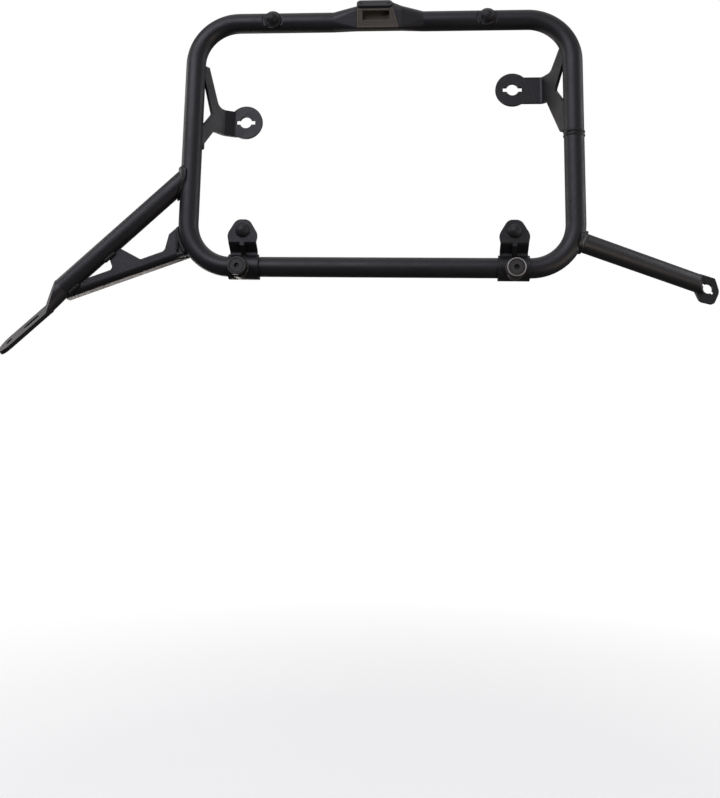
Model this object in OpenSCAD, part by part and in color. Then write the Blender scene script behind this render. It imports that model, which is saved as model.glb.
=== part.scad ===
// Side frame that carries a pannier case beside a motorbike's rear wheel.
// X runs to the rear, Y runs in towards the bike and Z is up.
// The origin is the middle of the lower bar's centre line.

/* [Loop tube] */
// Outside diameter of the loop's tube
tube_d = 18; // [16:0.5:20]
// Wall of every tube
tube_wall = 2; // [1.5:0.25:2.5]
// Distance between the centre lines of the two uprights
loop_w = 346; // [330:1:400]
// Height between the centre lines of the two bars
loop_h = 231; // [215:1:280]
// Radius of the loop's bends, at the centre line
bend_r = 40; // [30:1:45]
// Height of the butt weld in the rear upright
butt_weld_z = 122; // [90:1:140]
// Height of a weld ridge above the tube
ridge_h = 0.7; // [0.4:0.1:1.2]

/* [Latch housing] */
// Front end of the housing, ahead of the origin
latch_front = 45; // [38:1:60]
// Rear end of the housing, behind the origin
latch_rear = 38; // [34:1:60]
// Front end of the receiver, ahead of the origin
receiver_front = 23; // [20:0.5:28]
// Rear end of the receiver's lower edge, behind the origin
receiver_rear = 16; // [14:0.5:22]
// How far the receiver's rear edge leans in on its way up
receiver_lean = 5.5; // [0:0.5:7]
// Reach of the housing below the bar's centre line
latch_below = 10.5; // [10:0.25:14]
// Reach of the housing above the bar's centre line
latch_above = 15.5; // [14:0.25:20]
// Reach of the face's lower edge in front of the centre line
face_low_out = 8.5; // [8:0.25:11]
// Reach of the face's upper edge in front of the centre line
face_high_out = 13.5; // [12:0.25:16]
// Height of the face's upper edge above the centre line
face_high_z = 7.5; // [6:0.25:9]
// Reach of the housing behind the centre line
latch_back = 10; // [9:0.25:13]
// Thickness of the receiver behind its face
receiver_t = 7.5; // [6:0.25:9]
// Length of the latch pocket
pocket_l = 24.5; // [18:0.5:27]
// Height of the latch pocket
pocket_h = 8; // [6:0.25:9]
// Depth of the latch pocket
pocket_depth = 6; // [4.5:0.25:6.5]
// Thickness of the latch bar
bar_t = 4; // [3:0.25:5]
// Diameter of the pins that hold the latch bar
bar_pin_d = 2.4; // [1.6:0.1:3]
// Number of teeth in the receiver's top slot
tooth_count = 8; // [4:1:12]

/* [Rubber bumpers] */
// Diameter of a bumper's dome
dome_d = 12; // [10:0.2:14]
// Diameter of the hook brackets' domes
hook_dome_d = 13; // [11:0.2:14]
// Height of a bumper's dome
dome_h = 6; // [4:0.25:7]
// Diameter of the upper bumpers' flange
flange_d = 16; // [14:0.2:18]
// Thickness of the upper bumpers' flange
flange_t = 2.4; // [1.5:0.1:3]
// Diameter of a bumper's stem
stem_d = 5.8; // [4:0.1:6.5]
// Depth of the round seat cut into the upper bar
seat_depth = 1.7; // [1:0.1:1.8]
// Gap round the flange in its seat
seat_gap = 1.9; // [0.8:0.1:2.4]
// Distance of the front upper bumper from the front upright's axis
bumper_front_in = 72; // [60:1:90]
// Distance of the rear upper bumper from the rear upright's axis
bumper_rear_in = 76.7; // [60:0.1:90]

/* [Hook brackets] */
// Distance of the front hook bracket from the front upright's axis
hook_front_in = 53; // [52:1:62]
// Distance of the rear hook bracket from the rear upright's axis
hook_rear_in = 55; // [52:1:62]
// Shift of the front bracket's puck to the front
front_puck_shift = 2.4; // [0:0.1:3]
// Shift of the rear bracket's puck to the rear
rear_puck_shift = 0.6; // [0:0.1:3]
// Width of a bracket's collar round the lower bar
collar_w = 27.4; // [25:0.2:32]
// Width of a bracket's neck
neck_w = 24.4; // [20:0.2:25]
// Width of a bracket's tongue at its shoulders
tongue_w = 27.2; // [24:0.2:28]
// Thickness of a bracket's sheet
hook_t = 2.5; // [2:0.1:3]
// Height of the bend between neck and web
neck_top = 12.8; // [12:0.1:13.5]
// Height of the bend between web and tongue
web_top = 19.4; // [18.6:0.1:22]
// Height of the tongue's shoulders
shoulder_z = 26.5; // [26:0.5:30]
// Height of the tongue's tip
tongue_top = 39.8; // [38:0.2:46]
// Radius of the tongue's tip
tip_r = 7; // [5:0.25:8]
// Distance of the tongue's middle plane in front of the bar's centre line
tongue_out = 15.2; // [14:0.1:18]
// Distance of the neck's middle plane in front of the bar's centre line
neck_out = 5.4; // [5:0.1:6]
// Height of the tongue's bumper
tongue_bumper_z = 30; // [29:0.5:33]
// Width of the pressed rib across the web
rib_w = 4; // [2:0.2:5]

/* [Pucks] */
// Diameter of a puck's base
puck_base_d = 17.4; // [16:0.2:20]
// Diameter of a puck's neck
puck_neck_d = 12.4; // [11:0.2:13]
// Diameter of a puck's head
puck_head_d = 16; // [15:0.2:18]
// Distance of a puck's face in front of the bar's centre line
puck_out = 25.5; // [24:0.25:30]
// Thickness of a puck's head
puck_head_t = 4.4; // [4:0.1:6]
// Length of a puck's neck
puck_neck_l = 6; // [4:0.25:6]
// Drop of a puck's axis below the bar's centre line
puck_drop = 3; // [2:0.25:3.5]
// Diameter of a screw's shank
screw_d = 6; // [5:0.5:6]
// Diameter of a screw's head
screw_head_d = 12.4; // [11:0.1:12.6]
// Size across the flats of a screw's hexagon socket
socket_af = 4; // [3:0.5:5]
// Outside diameter of the threaded boss inside the bar
boss_d = 10; // [9:0.25:11]

/* [Upper mounts] */
// Thickness of the mounts' sheet
mount_t = 3; // [2.5:0.25:4]
// Inside radius of the mounts' folds
fold_r = 3; // [2:0.5:4]
// Radius of a mount's round end
mount_end_r = 15.8; // [14:0.2:18]
// Radius of a mount's round hole
mount_hole_r = 5.7; // [5.2:0.1:6.5]
// Width of the side slots of a mount's hole
key_w = 4.2; // [3:0.1:4.2]
// Length of a mount's hole over its side slots
key_l = 17.8; // [15:0.2:20]
// Distance of the front mount's hole from the front upright's axis
front_hole_in = 43.2; // [40:0.1:48]
// Height of the front mount's hole
front_hole_z = 144.3; // [140:0.1:150]
// Distance of the front mount's end behind the loop's plane
front_mount_y = 29; // [26:0.5:34]
// Distance of the rear mount's hole from the rear upright's axis
rear_hole_in = 51.5; // [48:0.1:56]
// Height of the rear mount's hole
rear_hole_z = 174.4; // [168:0.1:176]
// Distance of the rear mount's end behind the loop's plane
rear_mount_y = 28; // [25:0.5:34]

/* [Front arm] */
// Diameter of both arms' tubes
arm_d = 17.6; // [16:0.2:18]
// Height at which the front arm's axis meets the upright's axis
front_arm_z = 86.2; // [80:0.2:100]
// Slope of the front arm below level
front_arm_slope = 43.2; // [38:0.2:46]
// Length of the front arm's round tube
front_arm_l = 154.5; // [150:0.5:170]
// How much less the flat end slopes than the tube
flat_easing = 0.5; // [0:0.5:6]
// Twist of the flat end about its own length
flat_twist = 33; // [0:1:40]
// Width of the flat end
flat_w = 26; // [22:0.5:30]
// Thickness of the flat end
flat_t = 3.6; // [3.6:0.1:5]
// Length of the flat end up to the middle of its end hole
flat_l = 43; // [40:0.5:60]
// Offset of the flat end from the tube's axis
flat_drop = 6.4; // [3:0.2:7]
// Length of the crushed stretch between tube and flat end
crush_l = 25; // [20:1:30]
// Radius of the hole in the flat end
flat_hole_r = 3.4; // [2.5:0.1:4.5]
// Length of the slot in the flat end
flat_slot_l = 17.5; // [14:0.5:20]
// Distance from the hole to the middle of the slot
slot_pitch = 26; // [22:0.5:30]

/* [Rear arm] */
// Height at which the rear arm starts on the loop
rear_arm_z = 26; // [20:1:34]
// Distance that the rear arm's tube runs to the rear
rear_arm_run = 120; // [105:1:150]
// Distance that the rear arm's tube runs in towards the bike
rear_arm_in = 63; // [50:1:80]
// Distance that the rear arm's tube drops
rear_arm_drop = 27; // [15:1:40]
// Thickness of the rear arm's flat end
tab_t = 5; // [4:0.25:6]
// Height of the rear arm's flat end
tab_h = 28.9; // [26:0.1:32]
// Length of the rear arm's flat end
tab_l = 16.8; // [16:0.2:22]
// Radius of the hole in the rear arm's flat end
tab_hole_r = 4.6; // [4:0.1:5]
// Length of that hole over its side slots
tab_key_l = 13; // [12:0.25:14]
// Width of that hole's side slots
tab_key_w = 3.4; // [2.5:0.1:3.4]
// Reach of the arms' weld beads from the tubes
bead_h = 2.2; // [1.5:0.1:3]

/* [Gusset] */
// Thickness of the gusset's sheet
gusset_t = 3; // [2:0.25:4]
// Width of the gusset's folded flange
gusset_flange_w = 15; // [12:0.5:20]
// Height of the folded edge's rear end, on the loop
gusset_rear_z = 12.3; // [10:0.1:15]
// How far the folded edge runs past the end of the arm's round tube
gusset_past = 4.9; // [3:0.1:6]
// Distance of the folded edge's front end below the arm's axis
gusset_below = 7.6; // [7:0.1:8.8]
// Height of the sheet's band along the folded edge
gusset_band = 9; // [8:0.25:11]

/* [Hidden] */
$fn = 64;
eps = 0.01;
// Clearance between pieces that lie on each other's curved faces
fit = 0.1;
hull_fn = 48;
far = 400;

tube_r = tube_d / 2;
arm_r = arm_d / 2;
coat = [0.13, 0.13, 0.14];
bare = [0.30, 0.28, 0.26];
rubber = [0.07, 0.07, 0.07];

// The loop's corner points in its own plane, as [x, z]
upright_x = loop_w / 2;
bumper_front = upright_x - bumper_front_in;
bumper_rear = upright_x - bumper_rear_in;
hook_front = upright_x - hook_front_in;
hook_rear = upright_x - hook_rear_in;
front_hole_x = upright_x - front_hole_in;
rear_hole_x = upright_x - rear_hole_in;
corner_lf = [-upright_x, 0];
corner_lr = [upright_x, 0];
corner_ur = [upright_x, loop_h];
corner_uf = [-upright_x, loop_h];
butt_weld_at = [upright_x, butt_weld_z];
latch_end = [latch_rear, loop_h];
front_puck_x = -hook_front - front_puck_shift;
rear_puck_x = hook_rear + rear_puck_shift;
main_path = [[-latch_front, loop_h], corner_uf, corner_lf, corner_lr, butt_weld_at];
rear_path = [butt_weld_at, corner_ur, latch_end];
loop_path = [[-latch_front, loop_h], corner_uf, corner_lf, corner_lr, corner_ur, latch_end];

function unit(v) = v / norm(v);
function dir(a) = [cos(a), sin(a)];
function heading(v) = atan2(v.y, v.x);
function turn(points, i) =
    i == 0 || i == len(points) - 1 ? 0
    : acos(min(1, unit(points[i] - points[i - 1]) * unit(points[i + 1] - points[i])));
// Distance from a corner point to the start of its bend
function setback(points, i, r) = r * tan(turn(points, i) / 2);
// Where a straight line from a point touches a circle; side is 1 or -1
function touch(p, centre, r, side) =
    centre + r * dir(heading(p - centre) + side * acos(r / norm(p - centre)));

module in_loop_plane() {
    rotate([90, 0, 0])
        children();
}

// Extrudes a [y, z] profile along the X axis
module along_x(length) {
    rotate([90, 0, 90])
        linear_extrude(length)
            children();
}

module bar_run(from, to, d) {
    translate([from.x, from.y, 0])
        rotate([0, 0, heading(to - from)])
            rotate([0, 90, 0])
                cylinder(d = d, h = norm(to - from));
}

module bar_bend(points, i, d, r) {
    angle = turn(points, i);
    into = unit(points[i] - points[i - 1]);
    side = sign(cross(into, points[i + 1] - points[i]));
    start = points[i] - into * setback(points, i, r);
    centre = start + side * r * [-into.y, into.x];
    first = heading(start - centre);
    translate([centre.x, centre.y, 0])
        rotate([0, 0, side > 0 ? first : first - angle])
            rotate_extrude(angle = angle)
                translate([r, 0])
                    circle(d = d);
}

// A round bar bent along a line of corner points in one plane
module bent_bar(points, d, r) {
    last = len(points) - 1;
    for (i = [0 : last - 1]) {
        along = unit(points[i + 1] - points[i]);
        bar_run(
            points[i] + along * setback(points, i, r),
            points[i + 1] - along * setback(points, i + 1, r),
            d
        );
    }
    for (i = [1 : last - 1])
        if (turn(points, i) > eps)
            bar_bend(points, i, d, r);
}

module bent_tube(points, d, wall, r) {
    difference() {
        bent_bar(points, d, r);
        bent_bar(points, d - 2 * wall, r);
    }
}

// Straight runs of the loop as solid bars, to shape what is welded to them
upper_front = 1;
lower_front = 2;
lower_rear = 3;
upper_rear = 4;
module solid_run(from, to, extra = 0) {
    in_loop_plane()
        bar_run(loop_path[from], loop_path[to], tube_d + 2 * extra);
}

module solid_bend(corner, extra = 0) {
    in_loop_plane()
        bar_bend(loop_path, corner, tube_d + 2 * extra, bend_r);
}

// Facets of a fold in a sheet
fold_steps = 8;

// One face of a bent strip, as points: side 1 is its left face, -1 its right face
function strip_face(points, t, r, side) = [
    for (i = [0 : len(points) - 1])
        each turn(points, i) < eps ? [strip_end(points, i, side * t / 2)]
            : fold_points(points, i, side * t / 2, r)
];

function strip_end(points, i, shift) =
    let (along = i == 0 ? unit(points[1] - points[0]) : unit(points[i] - points[i - 1]))
    points[i] + shift * [-along.y, along.x];

function fold_points(points, i, shift, r) =
    let (
        angle = turn(points, i),
        into = unit(points[i] - points[i - 1]),
        side = sign(cross(into, points[i + 1] - points[i])),
        start = points[i] - into * setback(points, i, r),
        centre = start + side * r * [-into.y, into.x],
        first = heading(start - centre)
    )
    [
        for (k = [0 : fold_steps])
            centre + (r - side * shift) * dir(first + side * angle * k / fold_steps)
    ];

// A strip of sheet bent along a line of points, seen edge on
module strip(points, t, r) {
    back = strip_face(points, t, r, -1);
    polygon(concat(
        strip_face(points, t, r, 1),
        [for (i = [len(back) - 1 : -1 : 0]) back[i]]
    ));
}

// Facets of a rounded corner in an outline
corner_steps = 6;

// An outline's points with its corners rounded, from [x, y, radius] corners
function rounded(corners) = [
    for (i = [0 : len(corners) - 1])
        each round_corner(
            [corners[i].x, corners[i].y],
            point_of(corners, i - 1),
            point_of(corners, i + 1),
            len(corners[i]) > 2 ? corners[i].z : 0
        )
];

function point_of(corners, i) =
    let (c = corners[(i + len(corners)) % len(corners)])
    [c.x, c.y];

function round_corner(corner, before, after, r) =
    r == 0 ? [corner]
    : let (
        u = unit(before - corner),
        v = unit(after - corner),
        half = acos(u * v) / 2,
        centre = corner + unit(u + v) * r / sin(half),
        first = heading(corner + u * r / tan(half) - centre),
        side = sign(cross(v, u))
    )
    [
        for (k = [0 : corner_steps])
            centre + r * dir(first + side * (180 - 2 * half) * k / corner_steps)
    ];

// A round hole with a slot on each side
module keyed_hole(r, length, width) {
    circle(r = r);
    square([length, width], center = true);
}

// Loop tube

module front_bore(x, z, d) {
    translate([x, 0, z])
        rotate([90, 0, 0])
            cylinder(d = d, h = tube_d);
}

// A round seat cut into the bar's front, with the hole for the bumper's stem
module bumper_seat(x) {
    translate([x, -(tube_r - seat_depth), loop_h])
        rotate([90, 0, 0])
            cylinder(d = flange_d + 2 * seat_gap, h = tube_d);
    front_bore(x, loop_h, stem_d + fit);
}

module loop_tube_main() {
    color(coat)
        difference() {
            in_loop_plane()
                bent_tube(main_path, tube_d, tube_wall, bend_r);
            bumper_seat(-bumper_front);
            for (x = [front_puck_x, rear_puck_x])
                front_bore(x, -puck_drop, screw_d + 2 * fit);
        }
}

module loop_tube_rear() {
    color(coat)
        difference() {
            in_loop_plane()
                bent_tube(rear_path, tube_d, tube_wall, bend_r);
            bumper_seat(bumper_rear);
        }
}

// Two low ridges round the tube, where its two lengths are welded end to end
ridge_pitch = 3.4;
ridge_r = 1.6;
module loop_butt_weld() {
    upright = heading(corner_ur - corner_lr);
    color(coat)
        in_loop_plane()
            difference() {
                for (side = [-1, 1])
                    translate([butt_weld_at.x, butt_weld_at.y, 0])
                        rotate([0, 0, upright])
                            translate([side * ridge_pitch / 2, 0, 0])
                                rotate([0, 90, 0])
                                    rotate_extrude()
                                        translate([tube_r + ridge_h - ridge_r, 0])
                                            circle(r = ridge_r);
                bar_run(corner_lr, corner_ur, tube_d);
            }
}

// Latch housing

bevel_out = 11;
bevel_drop = 2;
brow_out = 8;
receiver_top_t = 3;
block_front = -receiver_front - 1;
block_rear = receiver_rear + 2;
receiver_top_x = receiver_rear - receiver_lean;
slice = 0.2;
spigot_l = 12;
bar_rise = latch_above - face_high_z;

brow_back = 4;
face_proud = 0.5;
rest_t = 1;

// The housing's outline, as steps from the face's edges
top_in = 2;
top_step = 4;
back_in = 4;
back_z = 3;
low_back = 5;
low_rise = 3.5;
low_r = 2;
back_r = 3;
top_r = 4;

// The housing's section ahead of the receiver, as [y, z, corner radius] about the bar's centre line
low_section = housing_section(latch_above - top_step);

// The higher section beside the receiver's rear edge
high_section = housing_section(latch_above - face_proud);

function housing_section(top) = rounded([
    [-face_low_out, -latch_below, low_r],
    [face_proud - face_high_out, face_high_z, top_r],
    [top_in - bevel_out, top, back_r],
    [latch_back - back_in, top, top_r],
    [latch_back, back_z, top_r],
    [low_back, low_rise - latch_below, back_r]
]);

// The receiver's section
receiver_low = rest_t - latch_below;
receiver_top = latch_above - rest_t;
receiver_section = [
    [-face_low_out, receiver_low],
    [-face_high_out, face_high_z],
    [-bevel_out, latch_above - bevel_drop],
    [-brow_out, latch_above],
    [brow_back, receiver_top],
    [brow_back, receiver_top - receiver_top_t],
    [receiver_t - face_high_out, receiver_top - receiver_top_t],
    [receiver_t - face_low_out, receiver_low]
];

module on_upper_bar(x) {
    translate([x, 0, loop_h])
        children();
}

// The swelling from the round tube end to the block's section
module housing_taper(x_round, x_block) {
    hull() {
        on_upper_bar(min(x_round, x_round - sign(x_round) * slice))
            along_x(slice)
                circle(d = tube_d, $fn = hull_fn);
        on_upper_bar(min(x_block, x_block + sign(x_block) * slice))
            along_x(slice)
                polygon(low_section);
    }
}

// The steep shoulder from the receiver's top down to the block behind it
module housing_shoulder() {
    hull() {
        on_upper_bar(receiver_top_x - slice)
            along_x(slice)
                polygon(high_section);
        on_upper_bar(block_rear)
            along_x(slice)
                polygon(low_section);
    }
}

// The receiver before its pocket is cut, grown by a gap to make its seat
module receiver_body(gap = 0) {
    intersection() {
        on_upper_bar(-receiver_front - gap)
            along_x(receiver_front + receiver_rear + 2 * gap)
                if (gap > 0)
                    receiver_seat(gap);
                else
                    polygon(receiver_section);
        // The rear edge leans in towards the top
        translate([0, far / 2, loop_h])
            in_loop_plane()
                linear_extrude(far)
                    polygon([
                        [-receiver_front - gap, -far],
                        [receiver_rear + gap + receiver_lean, -latch_below - face_high_z],
                        [receiver_rear + gap, receiver_low],
                        [receiver_top_x + gap, face_high_z],
                        [receiver_top_x + gap, far],
                        [-receiver_front - gap, far]
                    ]);
    }
}

// The room cut for the receiver: its back faces moved out by a gap, and open to the front
module receiver_seat(gap) {
    shelf = receiver_top - receiver_top_t - gap;
    polygon([
        [-far, receiver_low - gap],
        [receiver_t - face_low_out + gap, receiver_low - gap],
        [receiver_t - face_high_out + gap, shelf],
        [brow_back + gap, shelf],
        [brow_back + gap, far],
        [-far, far]
    ]);
}

module housing_solid() {
    on_upper_bar(block_front)
        along_x(block_rear - block_front)
            polygon(low_section);
    housing_shoulder();
    housing_taper(-latch_front, block_front);
    housing_taper(latch_rear, block_rear);
}

module latch_housing() {
    plug_d = tube_d - 2 * tube_wall - fit;
    color(coat) {
        difference() {
            housing_solid();
            receiver_body(fit);
        }
        on_upper_bar(-latch_front - spigot_l)
            rotate([0, 90, 0])
                cylinder(d = plug_d, h = spigot_l + eps);
        on_upper_bar(latch_rear - eps)
            rotate([0, 90, 0])
                cylinder(d = plug_d, h = spigot_l + eps);
    }
}

face_tilt = atan2(face_high_out - face_low_out, face_high_z + latch_below);
pocket_z = 2.3;
pocket_x = -5.3;
bar_tilt = 24;
bar_l = receiver_front + receiver_rear - receiver_lean - 1;
bar_x = (receiver_rear - receiver_lean - receiver_front) / 2 - 0.3;
bar_z = face_high_z + bar_rise / 2 - 0.6;
bar_h = bar_rise - 0.6;
bar_sunk = 1.8;
slot_x = bar_x;
slot_l = 26;
slot_w = 3;
slot_depth = 2;

// Turns a shape that faces -Y so that it lies on the receiver's bevel
module at_bar() {
    on_upper_bar(bar_x)
        translate([0, -face_high_out + 1, bar_z])
            rotate([-bar_tilt, 0, 0])
                rotate([90, 0, 0])
                    children();
}

module bar_outline(gap = 0) {
    end_r = bar_h / 2;
    square([bar_l - bar_h, bar_h + 2 * gap], center = true);
    for (side = [-1, 1])
        translate([side * (bar_l / 2 - end_r), 0])
            circle(r = end_r + gap);
}

module bar_pins(gap, from, length) {
    for (side = [-1, 1])
        translate([side * (bar_l / 2 - bar_h / 2), 0, from])
            cylinder(d = bar_pin_d + 2 * gap, h = length);
}

module latch_receiver() {
    color(bare)
        difference() {
            receiver_body();
            // The pocket that takes the case's latch tongue
            on_upper_bar(pocket_x)
                translate([0, -(face_low_out + face_high_out) / 2, pocket_z - 1])
                    rotate([face_tilt, 0, 0])
                        translate([-pocket_l / 2, -far / 2, -pocket_h / 2])
                            cube([pocket_l, far / 2 + pocket_depth, pocket_h]);
            at_bar()
                translate([0, 0, -bar_sunk])
                    linear_extrude(far)
                        bar_outline(fit);
            at_bar()
                bar_pins(fit / 2, -bar_sunk - pin_grip, far);
            on_upper_bar(slot_x)
                translate([0, 0, latch_above - 1 - slot_depth])
                    linear_extrude(slot_depth + bevel_drop)
                        toothed_slot();
        }
}

// A long slot with a row of round teeth along its back edge
module toothed_slot() {
    pitch = slot_l / tooth_count;
    difference() {
        union() {
            square([slot_l - slot_w, slot_w], center = true);
            for (side = [-1, 1])
                translate([side * (slot_l - slot_w) / 2, 0])
                    circle(d = slot_w);
        }
        for (i = [1 : tooth_count - 1])
            translate([-slot_l / 2 + i * pitch, slot_w / 2])
                circle(d = pitch / 2);
    }
}

pin_grip = 2.5;
module latch_bar() {
    color(rubber)
        at_bar()
            difference() {
                translate([0, 0, -bar_sunk])
                    linear_extrude(bar_t)
                        bar_outline();
                bar_pins(fit / 2, -far / 2, far);
            }
}

module latch_pins() {
    proud = 0.4;
    color(bare)
        at_bar()
            bar_pins(0, -bar_sunk - pin_grip, bar_t + pin_grip + proud);
}

// Rubber bumpers

barb_d = stem_d + 2;
barb_t = 1.6;

// A dome on the +Z side of its base, with a stem and a barb below
module bumper(dome_d, base_d, base_t, grip) {
    dome_r = (pow(dome_d / 2, 2) + pow(dome_h, 2)) / (2 * dome_h);
    union() {
        if (base_t > 0)
            rotate_extrude()
                polygon([
                    [0, 0],
                    [base_d / 2, 0],
                    [base_d / 2, base_t * 0.6],
                    [base_d / 2 - base_t * 0.6, base_t],
                    [0, base_t]
                ]);
        translate([0, 0, base_t])
            intersection() {
                translate([0, 0, dome_h - dome_r])
                    sphere(r = dome_r);
                cylinder(d = dome_d, h = dome_h);
            }
        translate([0, 0, -grip])
            cylinder(d = stem_d, h = grip + eps);
        translate([0, 0, -grip - barb_t])
            cylinder(d1 = stem_d - 1, d2 = barb_d, h = barb_t);
    }
}

module top_bumper(x) {
    seat_y = tube_r - seat_depth;
    color(rubber)
        translate([x, -seat_y, loop_h])
            rotate([90, 0, 0])
                bumper(dome_d, flange_d, flange_t, tube_wall);
}

module top_bumper_front() {
    top_bumper(-bumper_front);
}

module top_bumper_rear() {
    top_bumper(bumper_rear);
}

module hook_bumper(x) {
    color(rubber)
        translate([x, -tongue_out - hook_t / 2, tongue_bumper_z])
            rotate([90, 0, 0])
                bumper(hook_dome_d, 0, 0, hook_t + fit);
}

module hook_bumper_front() {
    hook_bumper(-hook_front);
}

module hook_bumper_rear() {
    hook_bumper(hook_rear);
}

// Hook brackets

collar_r = tube_r + fit;
collar_out = collar_r + hook_t;
hook_bend_r = 2.6;
collar_lip = 3;

// The half ring that wraps the bar's front and underside, as [y, z]
module collar_profile() {
    difference() {
        circle(r = collar_out);
        circle(r = collar_r);
        translate([-neck_out, 0])
            square(far);
        translate([collar_lip, -far])
            square(far);
    }
}

module tongue_outline() {
    edge = tongue_w / 2;
    low = neck_w / 2;
    tip = tip_r * 0.8;
    polygon(rounded([
        [-low, web_top, 0],
        [low, web_top, 0],
        [edge, shoulder_z, 9],
        [tip, tongue_top, tip_r],
        [-tip, tongue_top, tip_r],
        [-edge, shoulder_z, 9]
    ]));
}

module hook_bracket(x, puck_x) {
    foot = sqrt(pow(collar_r + hook_t / 2, 2) - pow(neck_out, 2));
    path = [
        [-neck_out, foot],
        [-neck_out, neck_top],
        [-tongue_out, web_top],
        [-tongue_out, shoulder_z]
    ];
    color(coat)
        translate([x, 0, 0])
            difference() {
                union() {
                    translate([-collar_w / 2, 0, 0])
                        along_x(collar_w)
                            collar_profile();
                    translate([-neck_w / 2, 0, 0])
                        along_x(neck_w)
                            strip(path, hook_t, hook_bend_r);
                    translate([0, -tongue_out + hook_t / 2, 0])
                        in_loop_plane()
                            linear_extrude(hook_t)
                                tongue_outline();
                    translate([-rib_w / 2, 0, 0])
                        along_x(rib_w)
                            web_rib();
                }
                rotate([90, 0, 0])
                    translate([puck_x - x, -puck_drop, 0])
                        cylinder(d = screw_d + 2 * fit, h = far);
                translate([0, 0, tongue_bumper_z])
                    rotate([90, 0, 0])
                        cylinder(d = stem_d + fit, h = far);
            }
}

// The pressed rib in the corner under the web
rib_deep = 3;
module web_rib() {
    front = tongue_out + hook_t / 2;
    back = neck_out + hook_t / 2;
    polygon([
        [-front, web_top + hook_t],
        [-front, web_top - rib_deep],
        [-back, neck_top - hook_t - rib_deep],
        [-neck_out, neck_top],
        [-tongue_out, web_top + hook_t / 2]
    ]);
}

module hook_bracket_front() {
    hook_bracket(-hook_front, front_puck_x);
}

module hook_bracket_rear() {
    hook_bracket(hook_rear, rear_puck_x);
}

// Pucks

puck_chamfer = 0.7;
screw_below = 0.4;
screw_head_t = 3.8;
screw_rim = 0.8;
neck_start = puck_out - puck_head_t - puck_neck_l;

module at_puck(x) {
    translate([x, 0, -puck_drop])
        rotate([90, 0, 0])
            children();
}

module hook_puck(x) {
    head_r = puck_head_d / 2;
    recess_r = screw_head_d / 2 + fit;
    bore_r = screw_d / 2 + fit;
    seat = puck_out - screw_below - screw_head_t - fit;
    rim = puck_out - screw_below - screw_rim - fit;
    color(bare)
        difference() {
            at_puck(x)
                rotate_extrude()
                    polygon([
                        [bore_r, 0],
                        [puck_base_d / 2, 0],
                        [puck_base_d / 2, neck_start - puck_chamfer],
                        [puck_base_d / 2 - puck_chamfer, neck_start],
                        [puck_neck_d / 2, neck_start],
                        [puck_neck_d / 2, neck_start + puck_neck_l],
                        [head_r, neck_start + puck_neck_l],
                        [head_r, puck_out - puck_chamfer],
                        [head_r - puck_chamfer, puck_out],
                        [recess_r, puck_out],
                        [recess_r, rim],
                        [bore_r, seat]
                    ]);
            // The base is hollowed to sit on the collar's round front
            translate([x - far / 2, 0, 0])
                along_x(far)
                    circle(r = collar_out + fit / 2);
        }
}

module hook_puck_front() {
    hook_puck(front_puck_x);
}

module hook_puck_rear() {
    hook_puck(rear_puck_x);
}

screw_tip = 3;
socket_depth = 2.8;
module puck_screw(x) {
    face = puck_out - screw_below;
    edge = 0.3;
    color(bare)
        difference() {
            at_puck(x)
                rotate_extrude()
                    polygon([
                        [0, -screw_tip],
                        [screw_d / 2, -screw_tip],
                        [screw_d / 2, face - screw_head_t],
                        [screw_head_d / 2, face - screw_rim],
                        [screw_head_d / 2, face - edge],
                        [screw_head_d / 2 - edge, face],
                        [0, face]
                    ]);
            at_puck(x)
                translate([0, 0, face - socket_depth])
                    cylinder(d = socket_af / cos(30), h = far, $fn = 6);
        }
}

module puck_screw_front() {
    puck_screw(front_puck_x);
}

module puck_screw_rear() {
    puck_screw(rear_puck_x);
}

// The threaded boss inside the bar, up against its front wall
module puck_boss(x) {
    boss_back = 2.5;
    color(bare)
        intersection() {
            at_puck(x)
                translate([0, 0, -boss_back])
                    difference() {
                        cylinder(d = boss_d, h = far);
                        cylinder(d = screw_d + fit, h = far, center = true);
                    }
            translate([x - far / 2, 0, 0])
                along_x(far)
                    circle(r = tube_r - tube_wall - fit / 2);
        }
}

module puck_boss_front() {
    puck_boss(front_puck_x);
}

module puck_boss_rear() {
    puck_boss(rear_puck_x);
}

// Upper mounts

// The uprights' inner faces, where the mounts' legs start
upright_inside = upright_x - tube_r;
leg_sink = 3;
root_y = 2;
fold_from_hole = 20;
joggle_from_hole = 10.4;
joggle_rise = 5;
rear_fold_from_hole = 28;
front_fold = [-(front_hole_x + fold_from_hole), front_mount_y - joggle_rise];
front_joggle = [-(front_hole_x + joggle_from_hole), front_mount_y];
front_root = [-upright_inside, root_y];
rear_fold = [rear_hole_x + rear_fold_from_hole, rear_mount_y];
rear_root = [upright_inside, root_y];

// Edges of the mounts' arms and legs, as reaches above and below the hole
front_arm_up = 10.6;
front_arm_down = 14;
front_leg_up = 45.2;
front_leg_down = 34;
front_gap_up = 36;
front_gap_mid = 2;
front_gap_down = 14;
rear_arm_up = 11.8;
rear_arm_down = 13.4;
rear_leg_up = 34;
rear_leg_down = 49;
rear_gap_up = 16;
rear_gap_mid = 7;
rear_gap_down = 23;

// The same, as reaches out from the upright
leg_tip = 3.2;
front_knee = 17.5;
front_heel = 12;
front_gap = 9.5;
rear_knee = 16;
rear_heel = 23;
rear_gap = 10;
knee_r = 8;
heel_r = 4.5;
gap_r = 2.5;
tip_edge_r = 1;
front_arm_low = front_hole_z - front_arm_down;
front_arm_high = front_hole_z + front_arm_up;
rear_arm_low = rear_hole_z - rear_arm_down;
rear_arm_high = rear_hole_z + rear_arm_up;

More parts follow.
